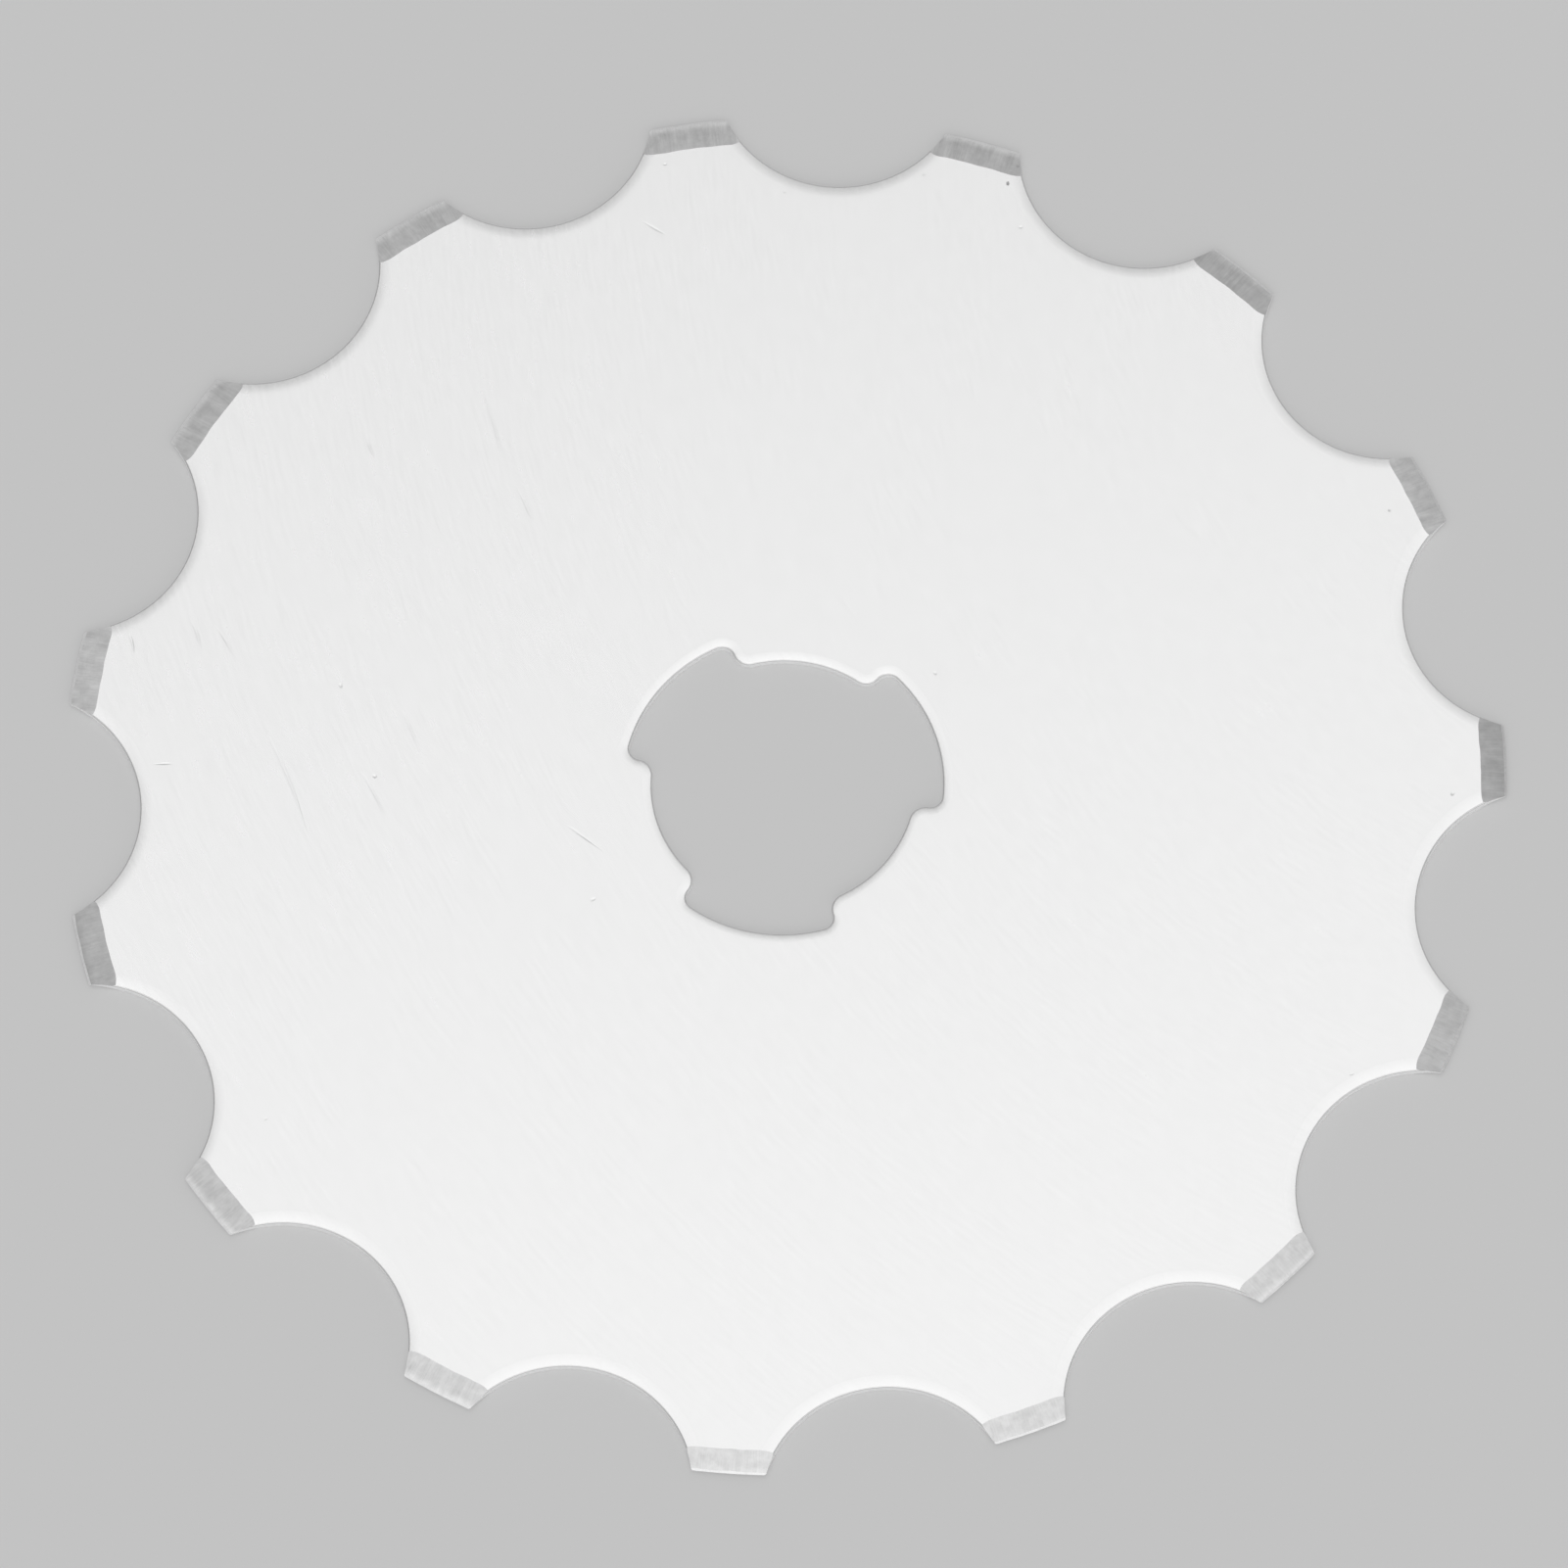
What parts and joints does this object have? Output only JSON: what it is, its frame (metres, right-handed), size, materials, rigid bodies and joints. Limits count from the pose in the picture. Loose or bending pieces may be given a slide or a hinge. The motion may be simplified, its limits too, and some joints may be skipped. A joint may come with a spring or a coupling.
{
  "type": "scalloped rotary cutter blade",
  "caption": "Flat round steel blade with a scalloped, double-bevelled rim and a lobed centre hole, for cutting a dashed line as it rolls.",
  "frame": {"origin": "on the axis the blade spins on, at mid-thickness", "axes": "+Z along the spin axis, out of the front face, which has the rolled edges; +X through the middle of a tooth"},
  "size_m": [0.0447, 0.0449, 0.0004],
  "materials": {
    "ground_steel": "satin polished faces with very fine grinding lines, matte ground bevels with fine lines across them, thin bright honed edge"
  },
  "bodies": {
    "root": {"blade": "ground_steel"}
  },
  "joints": []
}
